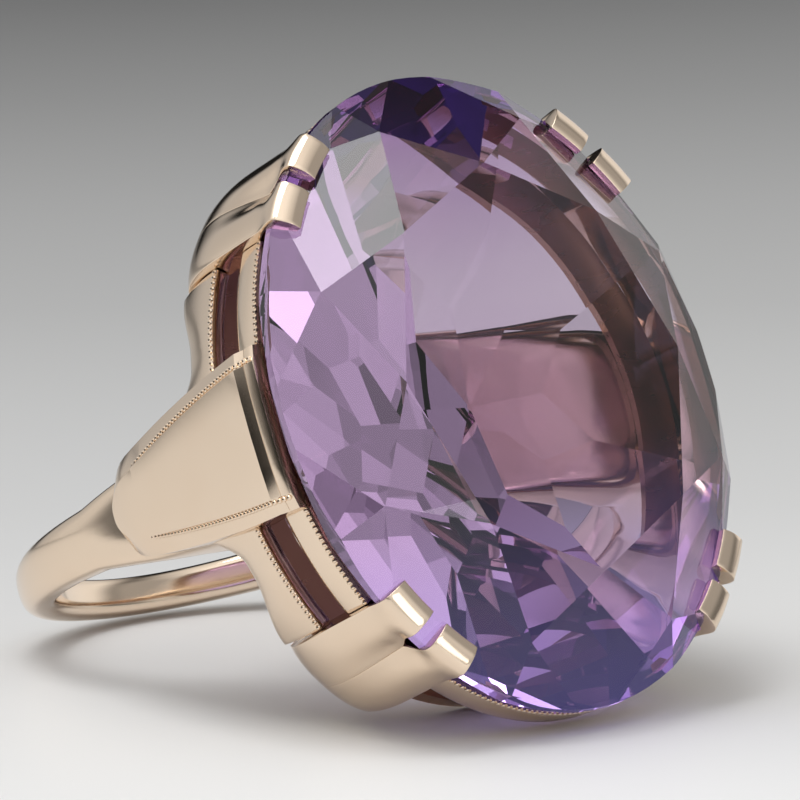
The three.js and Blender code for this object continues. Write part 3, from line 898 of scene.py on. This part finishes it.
def rail(name, start, end, foot, top, lean, upper):
    """A curved rail between two angles given as functions of height, milgrained on top."""
    gallery = sizes("ring_gallery")
    piece = block(name, (RAIL_CUTS, 0, LEAN_CUTS if lean else 0))
    if upper:
        edit(piece, "EDGE")
        pick(piece, lambda edge: runs_along(edge, 0) and all(
            v.co.y > 0.5 and v.co.z < 0.5 for v in edge.verts))
        bpy.ops.mesh.bevel(offset=gallery.chamfer / (top - foot), segments=1, affect="EDGES")
        bpy.ops.object.mode_set(mode="OBJECT")

    def spot_at(u, v, w):
        base = foot(u) if callable(foot) else foot
        height = mix(base, top, w)
        outside = -gallery.inset - lean * (1 - w) ** 2 - (1 - v) * gallery.thickness
        return oval_point(mix(start(height), end(height), u), outside, height)

    mould(piece, lambda p: spot_at(p.x, p.y, p.z))
    round_edges(tidy(piece), RAIL_ROUNDING)
    path = [spot_at(i / (BEAD_POINTS - 1), 1, 1) - Vector((BEAD_SINK, 0, 0))
            for i in range(BEAD_POINTS)]
    return join([piece, milgrain(name + "_milgrain", path)])


class RING_OT_rails(bpy.types.Operator):
    """Bends the upper and lower gallery rails round the oval and beads their edges"""
    bl_idname = "ring.rails"
    bl_label = "Gallery rails"

    def execute(self, context):
        gallery = sizes("ring_gallery")
        gold = gold_finish("rail_gold")
        flank = claw_flank()
        low_top = LOWER_RAIL[1].x
        for level, top, lean in (("upper", UPPER_RAIL[1].x, 0),
                                 ("lower", low_top, gallery.taper)):
            for place, centre, mirrored in QUARTERS:
                sign = -1 if mirrored else 1

                def at_claw(height):
                    return centre + sign * flank

                def at_shoulder(height):
                    return centre + sign * shoulder_angle(height)

                def foot(u):
                    near = (1 - u) if mirrored else u
                    return (LOWER_RAIL[0].x + gallery.fillet
                            - gallery.dip * (1 - smooth(DIP_RATE * near))
                            - gallery.fillet * clamp((near - FILLET_START)
                                                     / (1 - FILLET_START)) ** 2)

                ends = (at_shoulder, at_claw) if mirrored else (at_claw, at_shoulder)
                base = UPPER_RAIL[0].x if level == "upper" else foot
                piece = rail(f"{level}_rail_{place}_strip", *ends, base, top, lean,
                             level == "upper")
                lay_down(piece, gold, [f"{level}_rail_{place}"])
        inner = 2 * CORNER - flank
        for place, centre in (("end_upper", 0), ("end_lower", math.pi)):
            piece = rail(f"upper_rail_{place}_strip", lambda h: centre - inner,
                         lambda h: centre + inner, UPPER_RAIL[0].x, UPPER_RAIL[1].x, 0, True)
            lay_down(piece, gold, [f"upper_rail_{place}"])
        return {"FINISHED"}


CLAW_CUTS, STATION_STEPS = 9, 3  # across a claw, and between two stations
SHIELD_LAST = 5  # station where the shield has its full width
SHIELD_NARROW = 0.15  # how much narrower its foot is, each side
ROLL, ROLL_END, ROLL_SPAN = 0.20, 10.5, 2  # rounding of the outer flanks, by station
VALLEY_RATE = 1.9  # how soon the groove between the claws fades outwards
CROWN_RUN = 0.4  # share of the half width over which the crown rises
CROWN_GAP = 0.05  # between a claw and the stone
CLAW_ROUNDING, CLAW_ROUND_STEPS, CLAW_ANGLE = 0.08, 3, 38
CLAW_SMOOTHING = 36


class RING_OT_claws(bpy.types.Operator):
    """Models each pair of claws on its shield, one pair at each of the four corners"""
    bl_idname = "ring.claws"
    bl_label = "Claws"

    def execute(self, context):
        claws = sizes("ring_claws")
        low, high = girdle_levels()
        slope = sizes("ring_stone").crown_height / (HALF_WIDTH * CROWN_RUN)
        foot, off = CLAWS[0].x, claws.stand_off
        crown = high + CROWN_GAP
        half_gap, half = claws.gap / 2, claws.gap / 2 + claws.width
        reach = claws.reach
        # outer face and inner face, each as distance outside the girdle line and height, then
        # half the split between the two claws and the depth of the groove between them
        stations = [
            ((-0.62, foot + 0.02), (-1.58, foot + 0.02), 0, 0),
            ((-0.25, foot + 0.55), (-1.40, foot + 0.55), 0, 0),
            ((0.05, foot + 1.2), (-1.15, foot + 1.2), 0, 0),
            ((0.28, foot + 2.1), (-0.92, foot + 2.1), 0, 0),
            ((0.40, foot + 3.1), (-0.80, foot + 3.1), 0, 0.05),
            ((off, foot + 4.1), (-0.75, foot + 4.1), 0, 0.16),
            ((off, foot + 4.9), (-0.75, foot + 4.9), 0, 0.28),
            ((off, foot + 5.6), (-0.70, foot + 5.6), 0, 0.40),
            ((off, foot + 6.1), (-0.20, foot + 6.1), 0, 0.44),
            ((off, low), (0.04, low - 0.05), half_gap * 0.8, 0.30),
            ((off, high + 0.30), (0.04, high + 0.04), half_gap, 0.06),
            ((off - 0.14, high + 0.72), (-0.04, crown + 0.05), half_gap, 0.02),
            ((-reach * 0.4, high + 0.94), (-reach * 0.5, crown + slope * reach * 0.5),
             half_gap, 0),
            ((-reach, high + 0.92), (-reach, crown + slope * reach), half_gap, 0),
        ]
        last = len(stations) - 1
        columns = [list(enumerate(column)) for column in zip(
            *((*outer, *inner, split, groove) for outer, inner, split, groove in stations))]

        for place, corner in (("right_upper", 1), ("right_lower", 3), ("left_lower", 5),
                              ("left_upper", 7)):
            centre = corner * CORNER
            halves = []
            for hand in (-1, 1):
                strip = block(f"claws_{place}_pair",
                              (CLAW_CUTS, 0, last * STATION_STEPS - 1))

                def send(spot):
                    share = spot.z * last
                    across = spot.x if hand > 0 else 1 - spot.x
                    outer_o, outer_h, inner_o, inner_h, split, groove = (
                        follow(column, share) for column in columns)
                    width = mix(half - SHIELD_NARROW, half, smooth(share / SHIELD_LAST))
                    run = hand * mix(max(split, 0), width, across)
                    roll = ROLL * across ** 3 * smooth((ROLL_END - share) / ROLL_SPAN)
                    valley = max(groove, 0) * (1 - smooth(across * VALLEY_RATE))
                    if spot.y > 0.5:
                        outside, height = outer_o - roll - valley, outer_h
                    else:
                        outside, height = inner_o, inner_h
                    return oval_point(centre + oval_turn(run, centre), outside, height)

                mould(strip, send)
                halves.append(round_edges(tidy(strip), CLAW_ROUNDING, CLAW_ROUND_STEPS,
                                          CLAW_ANGLE))
            lay_down(join(halves), gold_finish(f"claws_{place}_gold"),
                     [f"claws_{place}"], smooth_angle=CLAW_SMOOTHING)
        return {"FINISHED"}


class RING_OT_hidden_gold(bpy.types.Operator):
    """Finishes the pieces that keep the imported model's own shape"""
    bl_idname = "ring.hidden_gold"
    bl_label = "Inner gallery"

    def execute(self, context):
        gold = gold_finish("inner_gold", 0.12)
        # painted shade: the gallery floor and the stone seat get gold tinted dark brown, in
        # place of the shade inside the gallery
        finishes = {
            "gallery_floor": gold_finish("floor_gold", 0.15, tint=(0.48, 0.34, 0.28)),
            "stone_seat": gold_finish("seat_gold", 0.22, tint=(0.34, 0.22, 0.18)),
        }
        for node in ("gallery_floor", "stone_seat", "lower_rail_end_upper",
                     "lower_rail_end_lower"):
            shape = frame["nodes"][node].data
            shape.materials.clear()
            shape.materials.append(finishes.get(node, gold))
        return {"FINISHED"}


# --------------------------------------------------------------------- stage
FLOOR_SIZE = 6  # metres
LIT_POINT = (0, 0, 0.010)  # what the softboxes face
# name, place, width and height in metres, watts
SOFTBOXES = (("top_softbox", (-0.10, -0.10, 0.34), (0.26, 0.22), 0.26),
             ("key_softbox", (0.010, -0.088, 0.398), (0.14, 0.19), 0.46),
             ("right_softbox", (0.42, 0.02, 0.10), (0.16, 0.14), 0.11))


def softbox(name, spot, target, size, watts):
    """A rectangular soft light facing a point."""
    light = bpy.data.lights.new(name, "AREA")
    light.shape, light.size, light.size_y = "RECTANGLE", size[0], size[1]
    light.energy = watts
    lamp = bpy.data.objects.new(name, light)
    bpy.context.scene.collection.objects.link(lamp)
    lamp.location = spot
    lamp.rotation_euler = (Vector(target) - Vector(spot)).to_track_quat("-Z", "Y").to_euler()


class RING_OT_stage(bpy.types.Operator):
    """Sets the floor, the soft lights and the camera"""
    bl_idname = "ring.stage"
    bl_label = "Stage"

    def execute(self, context):
        stage = sizes("ring_stage")
        scene = context.scene
        floor = begin("floor", bpy.ops.mesh.primitive_plane_add, size=FLOOR_SIZE)
        floor.data.materials.append(floor_finish("floor_card"))

        scene.world = studio_world()
        for name, spot, size, watts in SOFTBOXES:
            softbox(name, spot, LIT_POINT, size, watts)

        lens = bpy.data.cameras.new("camera")
        lens.lens, lens.sensor_width = stage.lens, 36
        lens.clip_start, lens.clip_end = 0.01, 10
        camera = bpy.data.objects.new("camera", lens)
        scene.collection.objects.link(camera)
        azimuth, lift = stage.azimuth, stage.elevation
        away = Vector((math.sin(azimuth) * math.cos(lift), -math.cos(azimuth) * math.cos(lift),
                       math.sin(lift)))
        turn = away.to_track_quat("Z", "Y").to_matrix() @ Matrix.Rotation(stage.roll, 3, "Z")
        camera.matrix_world = Matrix.Translation(
            RING.translation + Vector(stage.aim) + away * stage.distance * MM) @ turn.to_4x4()
        scene.camera = camera
        scene.view_settings.view_transform = "Standard"
        return {"FINISHED"}


# -------------------------------------------------------------------- add-on
OPERATORS = (RING_OT_stone, RING_OT_shank, RING_OT_shoulders, RING_OT_rails, RING_OT_claws,
             RING_OT_hidden_gold, RING_OT_stage)


class RING_PT_panel(bpy.types.Panel):
    """Lists the ring's operators and sizes"""
    bl_idname = "RING_PT_panel"
    bl_label = "Cocktail Ring"
    bl_space_type = "VIEW_3D"
    bl_region_type = "UI"
    bl_category = "Ring"

    def draw(self, context):
        for operator in OPERATORS:
            self.layout.operator(operator.bl_idname)
        for group in GROUPS:
            held = getattr(context.scene, group)
            box = self.layout.box()
            for key in held.__annotations__:
                box.prop(held, key)


def register():
    for group, kind in GROUPS.items():
        bpy.utils.register_class(kind)
        setattr(bpy.types.Scene, group, bpy.props.PointerProperty(type=kind))
    for kind in (*OPERATORS, RING_PT_panel):
        bpy.utils.register_class(kind)


def unregister():
    for kind in (RING_PT_panel, *reversed(OPERATORS)):
        bpy.utils.unregister_class(kind)
    for group, kind in GROUPS.items():
        delattr(bpy.types.Scene, group)
        bpy.utils.unregister_class(kind)


def main():
    register()
    bpy.ops.ring.stage()
    bpy.ops.ring.shank()
    bpy.ops.ring.shoulders()
    bpy.ops.ring.rails()
    bpy.ops.ring.claws()
    bpy.ops.ring.hidden_gold()
    bpy.ops.ring.stone()


if __name__ == "__main__":
    main()
